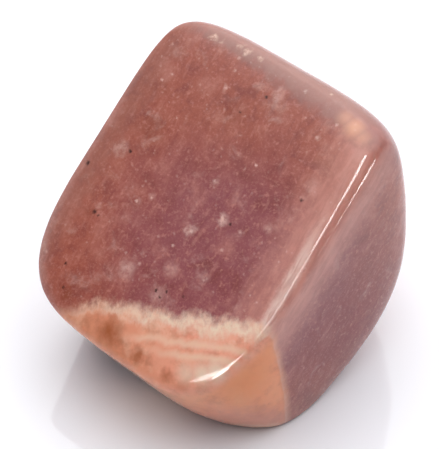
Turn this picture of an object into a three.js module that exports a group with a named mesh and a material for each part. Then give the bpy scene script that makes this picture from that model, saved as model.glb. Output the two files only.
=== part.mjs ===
// A tumbled moonstone: one block of feldspar, worn round and polished in a tumbler.
// Millimetres, +Z up. The origin is on the surface that the stone rests on, under the middle of its
// bounding box.
import * as THREE from "three";
import { mergeVertices } from "three/addons/utils/BufferGeometryUtils.js";

// The block's faces. A face looks along a bearing (degrees round +Z from +X) and a slope (degrees
// above the horizontal), and lies its reach (mm) from the heart of the block. A high crispness keeps
// it flat almost to its edges, and a low one wears it into a bulge.
const FACES = [
  { name: "broad face", bearing: -125, slope: 49.5, reach: 7.85, crispness: 31 },
  { name: "steep side", bearing: -46, slope: 4, reach: 10.65, crispness: 33 },
  { name: "far side", bearing: 134, slope: -2, reach: 11.2, crispness: 4 },
  { name: "low end", bearing: -132.4, slope: -29.3, reach: 14.04, crispness: 3.7 },
  { name: "high end", bearing: 52, slope: 22.5, reach: 12.3, crispness: 14 },
  { name: "crown", bearing: -7, slope: 83, reach: 14.7, crispness: 11 },
  { name: "belly", bearing: 30, slope: -64, reach: 9.92, crispness: 2.5 },
  { name: "blunted side corner", bearing: 1, slope: 6, reach: 13.5, crispness: 7.5 },
  { name: "blunted front corner", bearing: -68.5, slope: 10.1, reach: 12.6, crispness: 46 },
  { name: "worn ridge", bearing: -74.6, slope: 33.9, reach: 11.93, crispness: 60 },
  { name: "toe", bearing: -79.6, slope: -7.7, reach: 14.75, crispness: 15 },
];
const REST_DEPTH = 10; // mm from the heart down to the flat spot that the stone rests on
const REST_BEND = 0.3; // mm above and below the flat spot between which its rim bends softly

const SKIN_STEPS = 22; // triangles along each edge of the icosahedron that the skin starts as
const CROWDING_PASSES = 3;
const EDGE_CROWDING = 0.02; // share by which each pass slides skin points off the faces to the edges
const OUTSIDE = 25; // mm from the heart, past every corner
const HALVINGS = 40; // steps that find the skin between the heart and OUTSIDE

const STONE_COLOUR = 0xa9655f;
const STONE_ROUGHNESS = 0.15;

function lookingAlong(bearing, slope) {
  const turn = THREE.MathUtils.degToRad(bearing);
  const rise = THREE.MathUtils.degToRad(slope);
  return new THREE.Vector3(
    Math.cos(rise) * Math.cos(turn),
    Math.cos(rise) * Math.sin(turn),
    Math.sin(rise),
  );
}

const faces = FACES.map((face) => ({ ...face, outward: lookingAlong(face.bearing, face.slope) }));

// How near a point is to each face: 0 at the heart or behind it, 1 on the face.
function nearness(point, face) {
  return Math.max(0, face.outward.dot(point) / face.reach);
}

// The worn block is where these powers add up to less than 1. A point near one face alone is on the
// skin at the face itself. Near two or three faces the skin comes in earlier, which rounds the edge.
function isInside(point) {
  let sum = 0;
  for (const face of faces) {
    sum += nearness(point, face) ** face.crispness;
  }
  return sum < 1;
}

function skinPoint(direction) {
  let near = 0;
  let far = OUTSIDE;
  for (let step = 0; step < HALVINGS; step += 1) {
    const middle = (near + far) / 2;
    if (isInside(direction.clone().multiplyScalar(middle))) {
      near = middle;
    } else {
      far = middle;
    }
  }
  return direction.clone().multiplyScalar(near);
}

// The skin's normal is the slope of the sum that isInside adds up.
function skinNormal(point) {
  const normal = new THREE.Vector3();
  for (const face of faces) {
    const steepness = nearness(point, face) ** (face.crispness - 1);
    normal.addScaledVector(face.outward, (face.crispness / face.reach) * steepness);
  }
  return normal.normalize();
}

// Slides a direction away from the face that its skin point lies on, so that the narrow rounded
// edges get more triangles than the flats.
function crowdTowardsEdges(direction) {
  const crowded = direction.clone();
  for (let pass = 0; pass < CROWDING_PASSES; pass += 1) {
    const slide = crowded.clone().sub(skinNormal(skinPoint(crowded)));
    crowded.addScaledVector(slide, EDGE_CROWDING).normalize();
  }
  return crowded;
}

// Presses the part below the flat spot up into it.
function wornToFlat(height) {
  const above = height + REST_DEPTH;
  if (above > REST_BEND) {
    return height;
  }
  if (above < -REST_BEND) {
    return -REST_DEPTH;
  }
  return -REST_DEPTH + (above + REST_BEND) ** 2 / (4 * REST_BEND);
}

// One closed skin round the heart.
function stoneGeometry() {
  const skin = new THREE.IcosahedronGeometry(1, SKIN_STEPS - 1);
  skin.deleteAttribute("normal");
  skin.deleteAttribute("uv");
  const stone = mergeVertices(skin);
  const corners = stone.attributes.position;
  for (let index = 0; index < corners.count; index += 1) {
    const direction = new THREE.Vector3().fromBufferAttribute(corners, index).normalize();
    const point = skinPoint(crowdTowardsEdges(direction));
    corners.setXYZ(index, point.x, point.y, wornToFlat(point.z));
  }
  return stone;
}

// Moves the stone onto its resting surface, with the middle of its bounding box over the origin.
function standOnOrigin(geometry) {
  geometry.computeBoundingBox();
  const middle = geometry.boundingBox.getCenter(new THREE.Vector3());
  geometry.translate(-middle.x, -middle.y, -geometry.boundingBox.min.z);
  geometry.computeVertexNormals();
  return geometry;
}

const polishedStone = new THREE.MeshStandardMaterial({
  color: STONE_COLOUR,
  roughness: STONE_ROUGHNESS,
  metalness: 0,
});

const moonstone = new THREE.Mesh(standOnOrigin(stoneGeometry()), polishedStone);
moonstone.name = "moonstone";

const tumbledMoonstone = new THREE.Group();
tumbledMoonstone.add(moonstone);

export default tumbledMoonstone;
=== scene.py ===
import math

import bpy
import numpy as np
from mathutils import Matrix, Vector


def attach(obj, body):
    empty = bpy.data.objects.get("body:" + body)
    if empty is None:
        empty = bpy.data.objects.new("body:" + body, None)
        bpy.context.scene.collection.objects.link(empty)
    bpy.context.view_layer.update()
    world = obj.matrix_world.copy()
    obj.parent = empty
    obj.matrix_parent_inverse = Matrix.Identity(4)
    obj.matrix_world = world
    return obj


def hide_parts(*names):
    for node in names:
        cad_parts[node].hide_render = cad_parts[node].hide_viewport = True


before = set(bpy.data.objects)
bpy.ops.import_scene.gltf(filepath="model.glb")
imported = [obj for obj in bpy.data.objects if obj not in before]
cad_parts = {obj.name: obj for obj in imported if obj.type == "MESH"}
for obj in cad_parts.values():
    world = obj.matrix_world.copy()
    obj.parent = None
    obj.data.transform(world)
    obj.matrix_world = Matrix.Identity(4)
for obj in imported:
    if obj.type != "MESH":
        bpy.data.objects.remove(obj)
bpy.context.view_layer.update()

# ---------------------------------------------------------------------------------------------
# The moonstone: one piece of pink feldspar, broken from the rock and worn round in a tumbler with
# grit, then polished until it shines. It is a leaning block with one big flat face, crisp only
# along the ridge beside it, and it rests on the spot that wear left flat.
# ---------------------------------------------------------------------------------------------

# The block's faces: the bearing round +Z from +X, the slope above the horizontal, the reach from
# the heart of the stone in mm, and how crisp wear has left the face.
STONE_FACES = {
    "broad face": (-125, 49.5, 7.85, 31),
    "steep side": (-46, 4, 10.65, 33),
    "far side": (134, -2, 11.2, 4),
    "low end": (-132.4, -29.3, 14.04, 3.7),
    "high end": (52, 22.5, 12.3, 14),
    "crown": (-7, 83, 14.7, 11),
    "belly": (30, -64, 9.92, 2.5),
    "blunted side corner": (1, 6, 13.5, 7.5),
    "blunted front corner": (-68.5, 10.1, 12.6, 46),
    "worn ridge": (-74.6, 33.9, 11.93, 60),
    "toe": (-79.6, -7.7, 14.75, 15),
}
HEART = np.array((1.488, -0.264, 10.0))  # mm, the point that the reaches are taken from
REST_BEND = 0.3  # mm above and below the resting spot between which its rim bends softly
SKIN_INSET = 0.03  # mm that the polish takes off all round
MM = 0.001  # metres
BALL_RADIUS = 0.014  # metres, of the ball that the stone starts as
BALL_STEPS = 7
OUTSIDE = 25.0  # mm from the heart, past every corner
HALVINGS = 30  # steps that find the skin between the heart and OUTSIDE
CROWDING_PASSES = 4
EDGE_CROWDING = 0.014  # share by which each pass slides points off the flats to the edges


def pointing(bearing, slope):
    """The way that a bearing and a slope, in degrees, point."""
    turn, lift = math.radians(bearing), math.radians(slope)
    return np.array(
        (math.cos(lift) * math.cos(turn), math.cos(lift) * math.sin(turn), math.sin(lift))
    )


def face_outward(face):
    """The way that a face of the block looks."""
    bearing, slope, _, _ = STONE_FACES[face]
    return pointing(bearing, slope)


outwards = np.array([face_outward(face) for face in STONE_FACES])
reaches = np.array([face[2] for face in STONE_FACES.values()])
crispness = np.array([face[3] for face in STONE_FACES.values()])


def skin_points(directions):
    """Where rays from the heart leave the worn block."""
    near, far = np.zeros(len(directions)), np.full(len(directions), OUTSIDE)
    nearness = np.maximum(0, directions @ outwards.T / reaches)
    for _ in range(HALVINGS):
        middle = (near + far) / 2
        inside = ((nearness * middle[:, None]) ** crispness).sum(1) < 1
        near, far = np.where(inside, middle, near), np.where(inside, far, middle)
    return directions * near[:, None]


def skin_normals(points):
    """The way out of the worn block at points on its skin."""
    nearness = np.maximum(0, points @ outwards.T / reaches)
    slopes = (nearness ** (crispness - 1) * crispness / reaches) @ outwards
    return slopes / np.linalg.norm(slopes, axis=1, keepdims=True)


bpy.ops.object.select_all(action="DESELECT")
bpy.ops.mesh.primitive_ico_sphere_add(
    subdivisions=BALL_STEPS, radius=BALL_RADIUS, location=(0, 0, 0)
)
stone = bpy.context.active_object
stone.name = "polished_moonstone"
stone.data.name = "polished_moonstone"

# Every point of the ball goes out to the worn block's skin, and points slide off the flats to the
# edges on the way, where the skin bends the most.
ball = np.zeros(len(stone.data.vertices) * 3)
stone.data.vertices.foreach_get("co", ball)
directions = ball.reshape(-1, 3)
directions = directions / np.linalg.norm(directions, axis=1, keepdims=True)
for _ in range(CROWDING_PASSES):
    slides = directions - skin_normals(skin_points(directions))
    directions = directions + EDGE_CROWDING * slides
    directions = directions / np.linalg.norm(directions, axis=1, keepdims=True)
skin = skin_points(directions)
skin = skin - SKIN_INSET * skin_normals(skin) + HEART

# What would lie lower than the resting spot is pressed up to it, with a soft rim.
height = skin[:, 2]
bent = (np.clip(height, -REST_BEND, REST_BEND) + REST_BEND) ** 2 / (4 * REST_BEND)
skin[:, 2] = np.where(height > REST_BEND, height, bent)
stone.data.vertices.foreach_set("co", (skin * MM).ravel())
stone.data.update()

# Polishing leaves shallow waves all over the skin but on the spot that it rests on. They start just
# above the spot and have their full depth a little higher.
WAVES_START = 0.1  # mm above the spot
WAVES_RISE = 1.2  # mm over which the waves come up
POLISH_WAVES = (  # name, length and depth in metres
    ("long_waves", 0.0075, 0.00012),
    ("short_waves", 0.0022, 0.00003),
)

polished = stone.vertex_groups.new(name="polished_skin")
for index, z in enumerate(skin[:, 2]):
    polished.add([index], float(np.clip((z - WAVES_START) / WAVES_RISE, 0, 1)), "REPLACE")
for name, length, depth in POLISH_WAVES:
    waves = bpy.data.textures.new(name, "CLOUDS")
    waves.noise_scale = length
    waves.noise_depth = 1
    bpy.ops.object.modifier_add(type="DISPLACE")
    ripple = stone.modifiers[-1]
    ripple.texture = waves
    ripple.texture_coords = "LOCAL"
    ripple.vertex_group = "polished_skin"
    ripple.mid_level = 1
    ripple.strength = depth
    bpy.ops.object.modifier_apply(modifier=ripple.name)
bpy.ops.object.shade_smooth()

# The stone's colour runs right through it, so every pattern is a solid one in the stone's space.
stone_look = bpy.data.materials.new("polished_pink_moonstone")
stone_look.use_nodes = True
stone_nodes = stone_look.node_tree.nodes
stone_nodes.clear()


def node(kind, **settings):
    """A new node of the stone's material, with its settings."""
    made = stone_nodes.new(kind)
    for name, value in settings.items():
        setattr(made, name, value)
    return made


def wire(source, target):
    """A link from one node's output to another's input."""
    stone_look.node_tree.links.new(source, target)


def fill(socket, value):
    """Gives a socket a link or a plain value."""
    if isinstance(value, bpy.types.NodeSocket):
        wire(value, socket)
    else:
        socket.default_value = value


def sums(operation, first, second=0.0, third=0.0):
    """The result of one step of arithmetic."""
    made = node("ShaderNodeMath", operation=operation)
    for socket, value in zip(made.inputs, (first, second, third)):
        fill(socket, value)
    return made.outputs[0]


def times(*factors):
    """The product of masks or numbers."""
    product = factors[0]
    for factor in factors[1:]:
        product = sums("MULTIPLY", product, factor)
    return product


def fade(value, start, end, low=0.0, high=1.0):
    """A soft step from low, where value is at start, to high, where it is at end."""
    made = node("ShaderNodeMapRange", interpolation_type="SMOOTHSTEP")
    for socket, given in zip(made.inputs, (value, start, end, low, high)):
        fill(socket, given)
    return made.outputs[0]


def along(place, direction, offset=0.0):
    """How far a place lies along a direction, in mm."""
    made = node("ShaderNodeVectorMath", operation="DOT_PRODUCT")
    wire(place, made.inputs[0])
    made.inputs[1].default_value = tuple(direction)
    return sums("ADD", made.outputs["Value"], offset)


def turned(place, rows, stretch):
    """A place in a turned frame whose axes are rows, each squeezed by its stretch."""
    made = node("ShaderNodeMapping", vector_type="POINT")
    wire(place, made.inputs["Vector"])
    made.inputs["Rotation"].default_value = Matrix(rows).to_euler()
    squeezed = node("ShaderNodeMapping", vector_type="POINT")
    wire(made.outputs[0], squeezed.inputs["Vector"])
    squeezed.inputs["Scale"].default_value = stretch
    return squeezed.outputs[0]


def clouds(place, scale, detail=2.0, roughness=0.5, distortion=0.0):
    """A solid noise with scale clouds to a millimetre."""
    made = node("ShaderNodeTexNoise")
    wire(place, made.inputs["Vector"])
    made.inputs["Scale"].default_value = scale
    made.inputs["Detail"].default_value = detail
    made.inputs["Roughness"].default_value = roughness
    made.inputs["Distortion"].default_value = distortion
    return made.outputs["Fac"]


def blend(mask, under, over):
    """One colour laid over another where the mask is 1."""
    made = node("ShaderNodeMix", data_type="RGBA")
    for socket, value in zip((made.inputs[0], made.inputs[6], made.inputs[7]), (mask, under, over)):
        fill(socket, value)
    return made.outputs[2]


def colour(red, green, blue):
    """A screen colour, 0 to 255, as the linear colour that a shader takes."""
    screen = np.array((red, green, blue)) / 255
    linear = np.where(screen <= 0.04045, screen / 12.92, ((screen + 0.055) / 1.055) ** 2.4)
    return (*linear, 1.0)


def gap_to(place, spot):
    """How far a place is from a spot, in mm."""
    made = node("ShaderNodeVectorMath", operation="DISTANCE")
    wire(place, made.inputs[0])
    made.inputs[1].default_value = spot
    return made.outputs["Value"]


def patches(place, spots):
    """A mask of soft round patches: x, y, z and radius in mm, and a strength."""
    mask = None
    for x, y, z, radius, strength in spots:
        patch = fade(gap_to(place, (x, y, z)), 0.0, radius, strength, 0.0)
        mask = patch if mask is None else sums("MAXIMUM", mask, patch)
    return mask


in_stone = node("ShaderNodeTexCoord").outputs["Object"]
to_mm = node("ShaderNodeMapping")
wire(in_stone, to_mm.inputs["Vector"])
to_mm.inputs["Scale"].default_value = (1 / MM,) * 3
place = to_mm.outputs[0]

# The grain runs along the crisp ridge. RIDGE points down that ridge, ACROSS points to it across the
# broad face, and FACE points out of the broad face.
RIDGE = Vector((-0.482, -0.589, -0.649)).normalized()
FACE = Vector(face_outward("broad face")).normalized()
ACROSS = FACE.cross(RIDGE).normalized()
FACE = RIDGE.cross(ACROSS).normalized()
grain = turned(place, (RIDGE, ACROSS, FACE), (0.22, 1.0, 1.0))


def ragged(place, scale, reach):
    """A place shaken by a fine noise, which frays every edge that is drawn from it."""
    shake = node("ShaderNodeTexNoise")
    wire(place, shake.inputs["Vector"])
    shake.inputs["Scale"].default_value = scale
    shake.inputs["Detail"].default_value = 4.0
    shaken = node("ShaderNodeVectorMath", operation="MULTIPLY_ADD")
    wire(shake.outputs["Color"], shaken.inputs[0])
    shaken.inputs[1].default_value = (2 * reach,) * 3
    wire(place, shaken.inputs[2])
    centred = node("ShaderNodeVectorMath", operation="SUBTRACT")
    wire(shaken.outputs[0], centred.inputs[0])
    centred.inputs[1].default_value = (reach,) * 3
    return centred.outputs[0]


frayed = ragged(place, scale=1.3, reach=0.7)
chipped = ragged(place, scale=5.0, reach=0.16)

# The mauve body: deep mauve in the heart of the block, salmon towards its outside, and mottled and
# streaked along the grain all through, with brown iron stains.
MAUVE = colour(158, 91, 96)
SALMON = colour(178, 102, 86)
DEEP_ROSE = colour(140, 74, 72)
PALE_ROSE = colour(212, 146, 134)
BROWN = colour(140, 72, 52)
BROWN_STAINS = (
    (-5.7, 2.8, 18.9, 1.72, 0.40),
    (0.9, 1.8, 21.5, 1.54, 0.30),
    (-12.3, -5.7, 9.4, 0.95, 0.50),
    (-10.6, -1.1, 13.7, 0.71, 0.40),
    (8.1, -3.2, 21.5, 1.67, 0.50),
    (-4.9, 5.2, 20.9, 1.26, 0.20),
)
DEEP_MAUVE_AND_SHADE = colour(142, 53, 59)
DEEP_MAUVE_AND_SHADE_SPOT = ((11.0, -7.2, 6.5, 12.5, 0.95),)
MAUVE_HEART = (1.0, -6.3, 12.0)  # mm, the middle of the mauve

wobble = sums("MULTIPLY_ADD", clouds(place, 0.16, 3.0, 0.55), 10.0, -5.0)
warmth = fade(sums("ADD", gap_to(place, MAUVE_HEART), wobble), 5.0, 13.5)
body = blend(warmth, MAUVE, SALMON)
mottle = clouds(place, 0.55, 5.0, 0.62, 0.3)
body = blend(fade(mottle, 0.52, 0.30, 0.0, 0.65), body, DEEP_ROSE)
body = blend(fade(mottle, 0.50, 0.74, 0.0, 0.40), body, PALE_ROSE)
off_steep_side = fade(along(place, face_outward("steep side")), 9.0, 4.0)
behind = times(off_steep_side, fade(along(place, FACE), 14.0, 12.0))
banks = clouds(place, 0.17, 5.0, 0.62, 0.8)
body = blend(times(behind, fade(banks, 0.50, 0.36, 0.0, 0.8)), body, DEEP_ROSE)
body = blend(times(behind, fade(banks, 0.50, 0.64, 0.0, 0.6)), body, PALE_ROSE)
fibres = clouds(grain, 2.2, 3.0, 0.55, 0.4)
body = blend(fade(fibres, 0.46, 0.30, 0.0, 0.28), body, DEEP_ROSE)
body = blend(fade(fibres, 0.54, 0.74, 0.0, 0.32), body, PALE_ROSE)
body = blend(patches(frayed, BROWN_STAINS), body, BROWN)
# A deep mauve patch darkens the steep side towards its lower right. It is partly the stone's own
# deeper mauve and partly painted shade, where that side turns down away from the light.
deep_mauve_and_shade = times(patches(frayed, DEEP_MAUVE_AND_SHADE_SPOT), fade(fibres, 0.66, 0.40, 0.7, 1.0))
body = blend(deep_mauve_and_shade, body, DEEP_MAUVE_AND_SHADE)
fine = clouds(place, 5.0, 3.0, 0.75)
body = blend(fade(fine, 0.50, 0.72, 0.0, 0.40), body, PALE_ROSE)
body = blend(fade(clouds(place, 2.4, 2.0, 0.5), 0.56, 0.74, 0.0, 0.45), body, PALE_ROSE)
body = blend(fade(fine, 0.48, 0.28, 0.0, 0.30), body, DEEP_ROSE)

# Milky clouds lie just under the polish.
MILKY = colour(228, 188, 178)
MILKY_CLOUDS = (
    (-8.0, 2.4, 17.4, 1.08, 0.63),
    (-9.9, -0.9, 14.3, 0.63, 0.40),
    (-6.8, -1.4, 15.5, 0.54, 0.57),
    (-5.6, -1.5, 16.0, 0.54, 0.46),
    (-0.7, -2.0, 18.1, 0.62, 0.57),
    (-2.5, -4.7, 15.3, 0.71, 0.92),
    (-0.1, -4.6, 16.5, 0.79, 1.00),
    (-7.5, -5.7, 12.1, 1.25, 0.69),
    (-4.0, -6.6, 13.2, 0.98, 0.52),
    (-1.6, -7.8, 13.5, 0.79, 0.46),
    (4.2, 2.2, 23.2, 0.98, 0.63),
    (4.1, 1.5, 22.8, 1.24, 0.34),
    (6.8, -4.6, 19.9, 1.05, 0.52),
    (6.1, -5.0, 19.2, 0.53, 0.34),
    (-5.0, -8.0, 11.7, 1.16, 0.57),
    (3.4, -6.2, 17.1, 0.61, 0.46),
    (-6.2, -5.1, 13.2, 0.45, 0.40),
    (-8.0, -4.3, 12.8, 0.36, 0.46),
    (-4.6, -5.3, 13.8, 0.45, 0.46),
    (0.2, 3.8, 22.5, 0.45, 0.57),
    (4.1, 0.6, 22.1, 0.53, 0.40),
    (-0.8, 1.7, 20.6, 0.36, 0.46),
    (7.2, -1.4, 22.2, 0.53, 0.52),
    (-5.3, 3.5, 19.6, 0.63, 0.34),
    (-5.8, 4.0, 19.7, 0.54, 0.34),
    (-3.7, 7.4, 23.0, 0.82, 0.34),
    (2.5, -7.0, 16.1, 0.44, 0.29),
    (-12.0, -1.8, 12.4, 0.63, 0.34),
    (-10.4, -5.2, 10.9, 0.45, 0.34),
)

wisps = fade(clouds(place, 2.6, 4.0, 0.7), 0.32, 0.60, 0.3, 1.0)
veil = fade(clouds(place, 0.45, 4.0, 0.6, 0.6), 0.55, 0.78, 0.0, 0.4)
cloudy = sums("MAXIMUM", veil, patches(frayed, MILKY_CLOUDS))
body = blend(times(cloudy, wisps), body, MILKY)

# The stone is paler round its crisp ridge, partly a paler rose of its own and partly painted light
# where the sides near the ridge face the light, and a thin hoary haze lies on the broad face beside
# it.
RIDGE_ROSE_AND_LIGHT = colour(222, 160, 147)
HOAR = colour(244, 214, 204)
RIDGE_ACROSS = 9.74  # mm, where the ridge lies along ACROSS
RIDGE_OUT = 14.26  # mm, where it lies along FACE
FACE_SKIN = 14.84  # mm along FACE, just inside the skin of the broad face

across_ridge = along(frayed, ACROSS, -RIDGE_ACROSS)
out_of_ridge = along(frayed, FACE, -RIDGE_OUT)
out_squared = times(out_of_ridge, out_of_ridge)
from_ridge = sums("SQRT", sums("MULTIPLY_ADD", across_ridge, across_ridge, out_squared))
near_ridge = fade(from_ridge, 4.5, 0.3, 0.0, 0.92)
# Painted light, over a paler rose of the stone's own, round the ridge.
body = blend(times(near_ridge, fade(fibres, 0.38, 0.62, 0.75, 1.0)), body, RIDGE_ROSE_AND_LIGHT)
haze_gap = sums("ABSOLUTE", along(chipped, ACROSS, 0.3 - RIDGE_ACROSS))
on_face = fade(along(place, FACE), FACE_SKIN - 0.6, FACE_SKIN)
low_on_ridge = fade(along(place, RIDGE), -13.0, -7.0, 0.1, 1.0)
streaky = fade(fibres, 0.34, 0.62, 0.35, 0.9)
ridge_haze = times(fade(haze_gap, 0.8, 0.0), low_on_ridge, on_face, streaky)
body = blend(ridge_haze, body, HOAR)

# The stone is painted greyer towards the crown and the far side, a painted reflection of the white
# studio on the rim, and cream spots show there. The high corner by the ridge is darker, with a
# painted apricot sheen on the broad face beside it.
REFLECTION_GREY = colour(164, 122, 112)
CREAM = colour(255, 222, 200)
CREAM_SPOTS = (
    (-0.7, 7.6, 24.4, 0.47, 0.70),
    (-0.1, 7.1, 24.3, 0.39, 0.50),
    (1.3, 6.5, 24.5, 0.55, 0.80),
    (2.0, 6.0, 24.4, 0.47, 0.70),
    (2.9, 5.2, 24.3, 0.46, 0.60),
    (8.4, 1.8, 23.7, 0.38, 0.40),
)
DARKER_HIGH_CORNER = ((12.6, -0.8, 22.0, 4.2, 0.60),)
PAINTED_SHEEN_APRICOT = colour(244, 180, 145)
PAINTED_SHEEN_CORNER = (
    (9.9, -1.4, 23.2, 1.37, 0.70),
    (9.3, -0.6, 23.4, 1.10, 0.42),
    (10.5, -2.2, 23.0, 1.10, 0.42),
)

to_crown = along(frayed, face_outward("crown"))
to_far_side = along(frayed, face_outward("far side"))
to_high_end = along(frayed, face_outward("high end"))
by_crown = fade(to_crown, 20.0, 22.5, 0.0, 0.55)
body = blend(fade(to_crown, 23.2, 24.3, 0.0, 0.45), body, DEEP_ROSE)
# Painted reflection: grey laid over the rim towards the far side, the crown and the high end.
body = blend(fade(to_far_side, 5.8, 8.5, 0.0, 0.38), body, REFLECTION_GREY)
body = blend(fade(to_crown, 23.5, 24.3, 0.0, 0.50), body, REFLECTION_GREY)
body = blend(times(by_crown, fade(to_high_end, 13.5, 15.5)), body, REFLECTION_GREY)
body = blend(times(patches(frayed, CREAM_SPOTS), wisps), body, CREAM)
# The high corner by the ridge is painted darker.
body = blend(patches(frayed, DARKER_HIGH_CORNER), body, DEEP_ROSE)
# Painted sheen: an apricot patch on the broad face beside the high corner.
body = blend(patches(place, PAINTED_SHEEN_CORNER), body, PAINTED_SHEEN_APRICOT)

# Pale crystal grains sparkle all through the mauve, with a few bright ones on the broad face.
PALE_GRAIN = colour(238, 200, 189)
BRIGHT_GRAINS = (
    (2.5, -1.9, 19.7, 0.21, 1.00),
    (0.2, 3.8, 22.5, 0.24, 0.80),
    (-4.0, 6.0, 21.9, 0.20, 0.70),
    (-4.8, 5.9, 21.4, 0.20, 0.70),
    (0.9, 4.8, 23.4, 0.20, 0.60),
    (7.1, -1.4, 22.2, 0.21, 0.70),
    (-2.5, -4.7, 15.3, 0.24, 0.90),
    (-0.1, -4.5, 16.6, 0.24, 0.90),
    (-5.6, -1.7, 15.9, 0.20, 0.90),
    (-6.8, -1.5, 15.4, 0.21, 0.80),
    (-3.9, -5.2, 14.2, 0.18, 0.60),
    (-0.7, -2.0, 18.1, 0.21, 0.70),
    (-4.0, 8.1, 23.2, 0.20, 0.50),
    (6.3, 0.1, 22.8, 0.15, 0.60),
    (2.0, -10.0, 13.8, 0.18, 0.60),
    (2.5, -10.6, 13.6, 0.18, 0.60),
    (4.8, -8.0, 16.5, 0.19, 0.50),
    (4.2, -8.5, 15.9, 0.18, 0.50),
    (6.1, -9.3, 16.1, 0.19, 0.50),
    (-3.6, 3.0, 20.0, 0.15, 0.50),
    (-1.5, -8.1, 13.4, 0.18, 0.40),
)
SPOT_REACH = 0.3  # how flat a place is pressed along FACE, so that spots reach the skin


def grains(scale, size, share, moved):
    """Scattered grains: a round dot in a share of the cells of a pattern."""
    shifted = node("ShaderNodeMapping")
    wire(chipped, shifted.inputs["Vector"])
    shifted.inputs["Location"].default_value = moved
    cells = node("ShaderNodeTexVoronoi", feature="F1")
    wire(shifted.outputs[0], cells.inputs["Vector"])
    cells.inputs["Scale"].default_value = scale
    cell_colour = node("ShaderNodeSeparateColor")
    wire(cells.outputs["Color"], cell_colour.inputs[0])
    dot = fade(cells.outputs["Distance"], size, 0.0)
    return times(dot, sums("LESS_THAN", cell_colour.outputs[0], share))


def seen_through(spots):
    """Spots as they lie in spot_frame."""
    found = []
    for x, y, z, radius, strength in spots:
        spot = Vector((x, y, z))
        pressed = spot.dot(FACE) * SPOT_REACH
        found.append((spot.dot(RIDGE), spot.dot(ACROSS), pressed, radius, strength))
    return found


spot_frame = turned(chipped, (RIDGE, ACROSS, FACE), (1.0, 1.0, SPOT_REACH))
sparkle = times(grains(1.7, 0.26, 0.35, (3.1, 1.7, 5.2)), 0.30)
sparkle = sums("MAXIMUM", sparkle, times(grains(0.8, 0.18, 0.25, (7.7, 0.4, 2.9)), 0.55))
sparkle = sums("MAXIMUM", sparkle, patches(spot_frame, seen_through(BRIGHT_GRAINS)))
body = blend(times(sparkle, fade(on_face, 0.0, 1.0, 0.08, 1.0)), body, PALE_GRAIN)

# The front of the block is a layer of peach feldspar. It meets the mauve at a nearly upright plane,
# where it grew up into it in a close row of teeth.
LAYER_UP = Vector((0.350, 0.931, 0.104)).normalized()
LAYER_ALONG = Vector((0.909, -0.365, 0.205)).normalized()
LAYER_ALONG = (LAYER_ALONG - LAYER_ALONG.dot(LAYER_UP) * LAYER_UP).normalized()
LAYER_END = -8.95  # mm along LAYER_UP, where the layer meets the mauve
TOOTH_SIDE = (LAYER_ALONG - LAYER_ALONG.dot(FACE) * FACE).normalized()
TOOTH_UP = FACE.cross(TOOTH_SIDE).normalized()

past_layer = along(place, LAYER_UP, -LAYER_END)
span = along(place, LAYER_ALONG)
tooth_frame = turned(place, (TOOTH_SIDE, TOOTH_UP, FACE), (1.0, 0.6, 0.6))
teeth = fade(clouds(tooth_frame, 1.3, 5.0, 0.68), 0.32, 0.70, -0.20, 0.28)
dip = fade(span, -3.5, -7.5, 0.0, 0.8)
swell = sums("MULTIPLY_ADD", clouds(place, 0.5, 2.0, 0.5), 1.2, -0.6)
uneven = times(swell, fade(on_face, 0.0, 1.0, 0.35, 1.0))
rise = sums("SUBTRACT", sums("MULTIPLY_ADD", teeth, on_face, uneven), dip)
level = sums("SUBTRACT", past_layer, rise)
peach = fade(level, 0.55, -0.50)

# On the broad face the layer goes from apricot to peach, with orange iron stains along its edge.
APRICOT = colour(238, 163, 132)
PEACH = colour(254, 178, 154)
PALE_PEACH = colour(255, 210, 184)
ORANGE = colour(182, 104, 70)
ORANGE_STAINS = (
    (-8.8, -9.2, 8.6, 1.75, 1.00),
    (-8.1, -10.0, 8.4, 0.88, 0.72),
    (-6.6, -11.3, 8.2, 1.06, 0.90),
    (-5.8, -11.9, 8.2, 0.88, 0.60),
    (-4.4, -13.2, 8.0, 0.96, 0.72),
    (-3.1, -14.1, 7.8, 0.76, 0.36),
    (-1.4, -14.6, 7.9, 0.86, 0.30),
)

layer = blend(fade(span, -4.0, 6.5), APRICOT, PEACH)
layer = blend(fade(mottle, 0.48, 0.66, 0.0, 0.40), layer, PALE_PEACH)
layer = blend(fade(fine, 0.45, 0.75, 0.0, 0.35), layer, APRICOT)
layer = blend(patches(frayed, ORANGE_STAINS), layer, ORANGE)

# Below that face it is amber and cloudy, a muted rose towards its foot, and deep amber by the front
# corner.
AMBER = colour(250, 162, 112)
MUTED_ROSE = colour(206, 136, 122)
DEEP_AMBER = colour(250, 156, 100)
AMBER_GLOW = (
    (1.9, -13.9, 8.4, 3.6, 0.80),
    (3.0, -13.0, 9.6, 2.2, 0.60),
)
LOW_FRONT = Vector((0.0, -0.722, -0.692)).normalized()

below_face = fade(along(place, FACE), FACE_SKIN, FACE_SKIN - 1.4)
foot = fade(along(frayed, LOW_FRONT), 5.6, 7.8, 0.0, 0.65)
layer = blend(times(below_face, 0.8), layer, AMBER)
layer = blend(fade(clouds(place, 0.6, 5.0, 0.65), 0.42, 0.72, 0.0, 0.40), layer, ORANGE)
layer = blend(times(below_face, foot), layer, MUTED_ROSE)
layer = blend(times(below_face, patches(frayed, AMBER_GLOW)), layer, DEEP_AMBER)

# Pale streaks run along the layer, and its teeth are a cream fringe on the broad face.
PALE_FRINGE = colour(255, 226, 204)
waved = sums("ADD", clouds(grain, 0.6, 3.0, 0.5), sums("ADD", past_layer, -0.5))


def streak(at, width, first, full, strength):
    """A pale streak at a level in the layer, which comes up between two places along it."""
    gap = sums("ABSOLUTE", sums("SUBTRACT", waved, at))
    return times(fade(gap, width, 0.0, 0.0, strength), fade(span, first, full))


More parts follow.
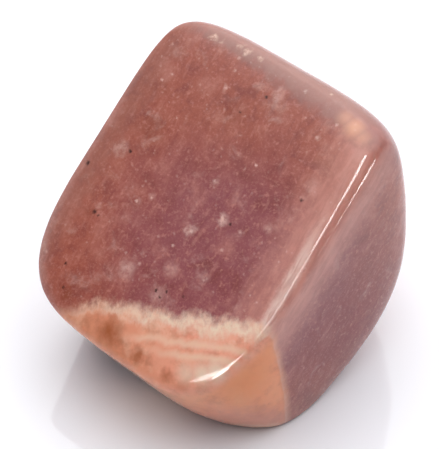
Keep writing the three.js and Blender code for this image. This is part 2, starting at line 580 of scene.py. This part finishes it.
streaks = sums("MAXIMUM", streak(-1.75, 0.42, -3.0, 0.5, 0.75), streak(-2.5, 0.40, -1.0, 4.0, 0.8))
layer = blend(times(streaks, on_face), layer, PALE_PEACH)
fringe_depth = times(fade(on_face, 0.0, 1.0, 0.2, 1.0), fade(span, -7.0, 3.0, 0.5, 1.0))
fringe = times(
    fade(sums("DIVIDE", level, fringe_depth), -1.35, -0.35),
    fade(clouds(tooth_frame, 2.2, 4.0, 0.72), 0.26, 0.60, 0.45, 1.0),
    fade(span, -7.0, 4.0, 0.55, 1.0),
    fade(on_face, 0.0, 1.0, 0.4, 1.0),
)
layer = blend(fringe, layer, PALE_FRINGE)

# The front corner has a painted highlight, nearly white, and the low edges have a thin pale rim of
# painted glow, for light shining through the thin edges.
PAINTED_HIGHLIGHT_CREAM = colour(255, 228, 206)
PAINTED_HIGHLIGHT_CORNER = (
    (-0.6, -14.0, 9.5, 1.5, 0.85),
    (-1.7, -13.9, 9.1, 1.5, 0.80),
    (-2.9, -13.6, 8.7, 1.4, 0.60),
)
LOW_LEFT = Vector((-0.565, -0.595, -0.569)).normalized()

# Painted highlight: a near-white patch on the front corner.
layer = blend(patches(place, PAINTED_HIGHLIGHT_CORNER), layer, PAINTED_HIGHLIGHT_CREAM)
# Painted glow: a pale rim along the thin low edges, where light shines through.
painted_glow_low_left = fade(along(chipped, LOW_LEFT), 7.00, 7.40, 0.0, 0.65)
painted_glow_low_front = fade(along(chipped, LOW_FRONT), 7.85, 8.35, 0.0, 0.60)
layer = blend(sums("MAXIMUM", painted_glow_low_left, painted_glow_low_front), layer, PALE_PEACH)
skin_colour = blend(peach, body, layer)

# Tiny black pits are left where grains fell out of the polish.
PIT_BLACK = colour(58, 34, 34)
PITS = (
    (-10.7, 2.3, 15.8, 0.31, 1.00),
    (-10.1, -1.2, 13.9, 0.28, 1.00),
    (-7.3, 1.9, 17.5, 0.23, 1.00),
    (-12.4, -3.9, 10.8, 0.21, 1.00),
    (-12.6, -5.3, 9.6, 0.20, 0.91),
    (3.3, 2.3, 22.9, 0.23, 1.00),
    (5.9, -5.1, 19.1, 0.20, 0.91),
    (-5.2, -7.7, 11.8, 0.20, 1.00),
    (-4.4, -8.0, 12.0, 0.20, 0.91),
    (-4.9, -8.2, 11.6, 0.20, 1.00),
    (-3.1, -8.7, 12.2, 0.18, 0.78),
    (1.3, 1.9, 21.7, 0.20, 0.78),
    (13.1, -2.5, 20.0, 0.18, 0.78),
    (-9.8, -1.5, 13.8, 0.18, 0.78),
    (0.5, -5.1, 16.5, 0.20, 0.91),
)

skin_colour = blend(patches(spot_frame, seen_through(PITS)), skin_colour, PIT_BLACK)

# Light spreads a little way under the polish, red light the farthest. The polish is a little
# uneven, and more of a satin on the front corner.
SATIN_CORNER = ((-0.9, -14.3, 8.9, 2.6, 0.04),)

stone_shader = node("ShaderNodeBsdfPrincipled")
wire(skin_colour, stone_shader.inputs["Base Color"])
stone_shader.inputs["IOR"].default_value = 1.53
stone_shader.inputs["Subsurface Weight"].default_value = 0.60
stone_shader.inputs["Subsurface Radius"].default_value = (0.8, 0.5, 0.42)
stone_shader.inputs["Subsurface Scale"].default_value = 0.0007
polish = fade(clouds(place, 1.3, 4.0, 0.6), 0.35, 0.75, 0.05, 0.11)
satin = patches(frayed, SATIN_CORNER)
wire(sums("ADD", polish, satin), stone_shader.inputs["Roughness"])
stone_output = node("ShaderNodeOutputMaterial")
wire(stone_shader.outputs[0], stone_output.inputs["Surface"])

stone.data.materials.clear()
stone.data.materials.append(stone_look)
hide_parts("moonstone")
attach(stone, "root")

# ---------------------------------------------------------------------------------------------
# The studio: a glossy white sheet in soft white light from all round, with five soft boxes in front
# that draw the bright lines along the stone's ridge and on its front corner, and a camera above.
# ---------------------------------------------------------------------------------------------

SHEET_SIDE = 3  # metres

bpy.ops.object.select_all(action="DESELECT")
bpy.ops.mesh.primitive_plane_add(size=SHEET_SIDE, location=(0, 0, 0))
floor = bpy.context.active_object
floor.name = "white_sheet"
sheet_look = bpy.data.materials.new("glossy_white_sheet")
sheet_look.use_nodes = True
sheet_shader = sheet_look.node_tree.nodes["Principled BSDF"]
sheet_shader.inputs["Base Color"].default_value = (0.84, 0.85, 0.90, 1)
sheet_shader.inputs["Roughness"].default_value = 0.05
floor.data.materials.append(sheet_look)

# The lamps shine on the stone alone, so that the sheet doesn't mirror them.
LAMPS_FACE = Vector((0, 0, 0.012))  # metres, the middle of the stone
SOFT_BOXES = (  # name, bearing and slope in degrees, distance, width and height in metres, watts
    ("left_box", -103, 54, 0.40, 0.07, 0.13, 0.43),
    ("left_strip", -103, 38, 0.40, 0.07, 0.10, 0.10),
    ("corner_box", -127, 23, 0.40, 0.16, 0.06, 0.32),
    ("corner_lamp", -112, 18, 0.40, 0.12, 0.08, 0.66),
    ("low_box", -38, 7, 0.45, 0.14, 0.07, 0.50),
)

lamplit = bpy.data.collections.new("lamplit")
lamplit.objects.link(stone)
for name, bearing, slope, distance, width, height, power in SOFT_BOXES:
    from_stone = Vector(pointing(bearing, slope))
    bpy.ops.object.light_add(type="AREA", location=LAMPS_FACE + distance * from_stone)
    lamp = bpy.context.active_object
    lamp.name = name
    lamp.rotation_euler = from_stone.to_track_quat("Z", "Y").to_euler()
    lamp.data.shape = "RECTANGLE"
    lamp.data.size = width
    lamp.data.size_y = height
    lamp.data.energy = power
    lamp.visible_diffuse = False  # it draws highlights and doesn't fill the shadow
    lamp.visible_camera = False
    lamp.light_linking.receiver_collection = lamplit

# The soft light comes from above, from behind and from the left. Each glow is brightest one way and
# fades to nothing where the cosine of the angle from there falls to its edge.
STUDIO_GLOWS = (  # bearing and slope in degrees, edge, strength
    (60, 80, 0.40, 1.75),
    (45, 45, 0.40, 0.7),
    (85, 12, 0.50, 0.9),
    (165, 72, 0.90, 0.8),
    (168, 0, 0.82, 1.3),
)

studio = bpy.data.worlds.new("studio_air")
studio.use_nodes = True
air = studio.node_tree
looking = air.nodes.new("ShaderNodeTexCoord").outputs["Generated"]
light_sum = None
for bearing, slope, edge, strength in STUDIO_GLOWS:
    facing = air.nodes.new("ShaderNodeVectorMath")
    facing.operation = "DOT_PRODUCT"
    air.links.new(looking, facing.inputs[0])
    facing.inputs[1].default_value = tuple(pointing(bearing, slope))
    glow = air.nodes.new("ShaderNodeMapRange")
    glow.interpolation_type = "SMOOTHSTEP"
    air.links.new(facing.outputs["Value"], glow.inputs[0])
    for socket, value in zip(list(glow.inputs)[1:5], (edge, 1.0, 0.0, strength)):
        socket.default_value = value
    if light_sum is None:
        light_sum = glow.outputs[0]
    else:
        both = air.nodes.new("ShaderNodeMath")
        air.links.new(light_sum, both.inputs[0])
        air.links.new(glow.outputs[0], both.inputs[1])
        light_sum = both.outputs[0]
air.links.new(light_sum, air.nodes["Background"].inputs["Strength"])
air.nodes["Background"].inputs["Color"].default_value = (1, 1, 1, 1)
bpy.context.scene.world = studio
bpy.context.scene.view_settings.view_transform = "Standard"

# The camera looks down at the stone, 46 degrees below the horizontal.
CAMERA_TILT = math.radians(90 - 46)
CAMERA_PLACE = (-0.00022, -0.13292, 0.14881)  # metres

bpy.ops.object.camera_add(location=CAMERA_PLACE, rotation=(CAMERA_TILT, 0, 0))
camera = bpy.context.active_object
camera.data.lens = 192.4
camera.data.sensor_width = 36
camera.data.clip_start = 0.01
bpy.context.scene.camera = camera
